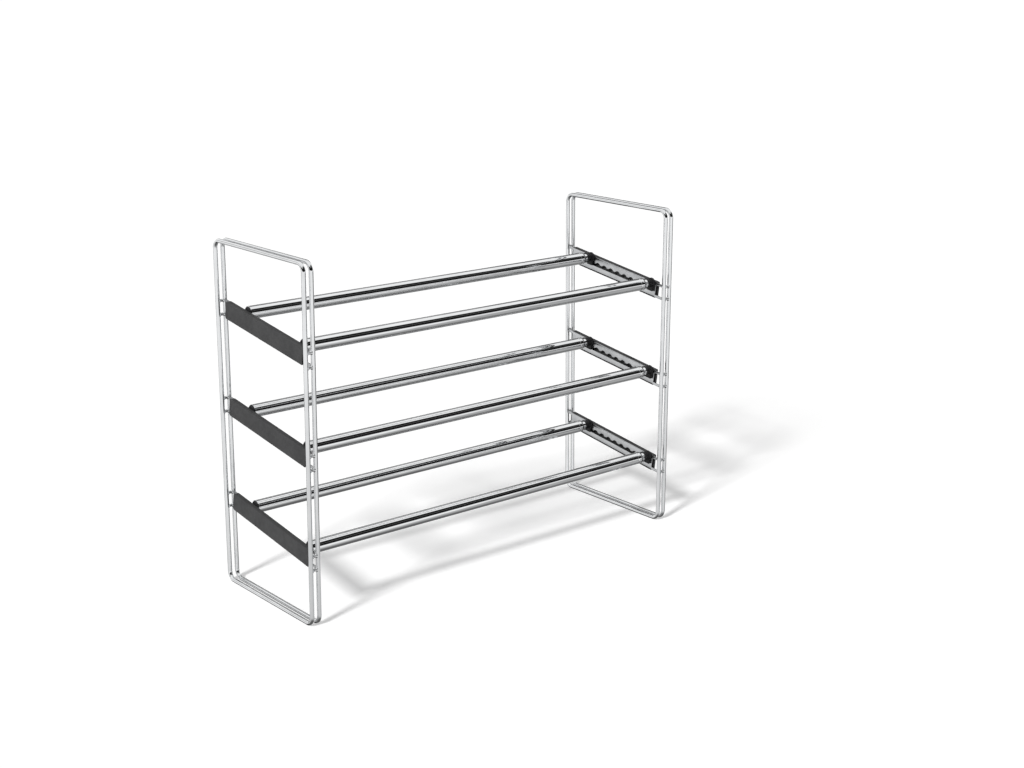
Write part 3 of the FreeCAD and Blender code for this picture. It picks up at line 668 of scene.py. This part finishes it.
world = bpy.data.worlds.new("room")
bpy.context.scene.world = world
world.use_nodes = True
tree = world.node_tree
direction = tree.nodes.new("ShaderNodeTexCoord").outputs["Generated"]
split = tree.nodes.new("ShaderNodeSeparateXYZ")
tree.links.new(direction, split.inputs["Vector"])
rise = split.outputs["Z"]
flat = tree.nodes.new("ShaderNodeVectorMath")
flat.operation = "MULTIPLY"
flat.inputs[1].default_value = (1, 1, 0)
tree.links.new(direction, flat.inputs[0])
bearing = tree.nodes.new("ShaderNodeVectorMath")
bearing.operation = "NORMALIZE"
tree.links.new(flat.outputs["Vector"], bearing.inputs[0])


def step(value, low, high):
    """0 below low and 1 above high, eased between the two."""
    ease = tree.nodes.new("ShaderNodeMapRange")
    ease.interpolation_type = "SMOOTHSTEP"
    ease.inputs["From Min"].default_value = low
    ease.inputs["From Max"].default_value = high
    tree.links.new(value, ease.inputs["Value"])
    return ease.outputs["Result"]


def product(first, second):
    """One value times another."""
    times = tree.nodes.new("ShaderNodeMath")
    times.operation = "MULTIPLY"
    tree.links.new(first, times.inputs[0])
    tree.links.new(second, times.inputs[1])
    return times.outputs["Value"]


def board(behind, grey, middle, half_width, low, high, soft=0.025, side_soft=0.06):
    """Stands a grey board in front of what is behind. Its middle lies `middle` degrees from +Y
    towards +X, low and high are the sines of its lower and upper edge's angles, and its edges
    blend over soft in the sine and over side_soft, in radians, at its sides."""
    middle, half_width = math.radians(middle), math.radians(half_width)
    facing = tree.nodes.new("ShaderNodeVectorMath")
    facing.operation = "DOT_PRODUCT"
    facing.inputs[1].default_value = (math.sin(middle), math.cos(middle), 0)
    tree.links.new(bearing.outputs["Vector"], facing.inputs[0])
    across = step(facing.outputs["Value"],
                  math.cos(half_width + side_soft), math.cos(half_width - side_soft))
    over = step(rise, low - soft, low + soft)
    under = step(rise, high + soft, high - soft)
    mix = tree.nodes.new("ShaderNodeMix")
    mix.data_type = "RGBA"
    tree.links.new(product(across, product(over, under)), mix.inputs["Factor"])
    tree.links.new(behind, mix.inputs["A"])
    mix.inputs["B"].default_value = (grey, grey, grey, 1)
    return mix.outputs["Result"]


half_up = tree.nodes.new("ShaderNodeMath")
half_up.operation = "MULTIPLY_ADD"
half_up.inputs[1].default_value = 0.5
half_up.inputs[2].default_value = 0.5
tree.links.new(rise, half_up.inputs[0])
room = tree.nodes.new("ShaderNodeValToRGB")
greys = [(-1.0, 0.12), (-0.8, 0.14), (-0.6, 0.44), (-0.45, 0.66), (-0.25, 0.95), (-0.08, 1.0)]
while len(room.color_ramp.elements) < len(greys):
    room.color_ramp.elements.new(0.5)
for element, (height, grey) in zip(room.color_ramp.elements, greys):
    element.position = 0.5 + height / 2
    element.color = (grey, grey, grey, 1)
tree.links.new(half_up.outputs["Value"], room.inputs["Fac"])
shown = room.outputs["Color"]
# Each row is one board: grey, middle and half width in degrees, lower and upper edge's sine.
for grey, middle, half_width, low, high in [(0.42, 126, 15, -0.55, -0.10),
                                            (0.012, 180, 78, 0.04, 0.52),
                                            (0.012, 164, 46, 0.52, 0.80),
                                            (0.25, 56, 12, 0.35, 0.66),
                                            (0.05, 40, 20, 0.05, 0.42),
                                            (0.10, 96, 28, -0.38, -0.06),
                                            (0.08, 352, 14, -0.42, -0.10),
                                            (0.03, 270, 22, 0.08, 0.40),
                                            (0.03, 352, 30, -0.85, -0.52),
                                            (0.10, 26, 22, 0.52, 0.76),
                                            (0.40, 322, 24, 0.14, 0.32)]:
    shown = board(shown, grey, middle, half_width, low, high)

ambient = tree.nodes["Background"]
ambient.inputs["Color"].default_value = (1, 1, 1, 1)
ambient.inputs["Strength"].default_value = 0.30
white = tree.nodes.new("ShaderNodeBackground")
white.inputs["Color"].default_value = (1, 1, 1, 1)
boards = tree.nodes.new("ShaderNodeBackground")
tree.links.new(shown, boards.inputs["Color"])
ray = tree.nodes.new("ShaderNodeLightPath")
seen = tree.nodes.new("ShaderNodeMath")
seen.operation = "MAXIMUM"
tree.links.new(ray.outputs["Is Camera Ray"], seen.inputs[0])
tree.links.new(ray.outputs["Is Transmission Ray"], seen.inputs[1])
plain = tree.nodes.new("ShaderNodeMixShader")
tree.links.new(seen.outputs["Value"], plain.inputs[0])
tree.links.new(ambient.outputs[0], plain.inputs[1])
tree.links.new(white.outputs[0], plain.inputs[2])
mirrored = tree.nodes.new("ShaderNodeMixShader")
tree.links.new(ray.outputs["Is Glossy Ray"], mirrored.inputs[0])
tree.links.new(plain.outputs[0], mirrored.inputs[1])
tree.links.new(boards.outputs[0], mirrored.inputs[2])
tree.links.new(mirrored.outputs[0], tree.nodes["World Output"].inputs["Surface"])
bpy.context.scene.view_settings.view_transform = "Standard"
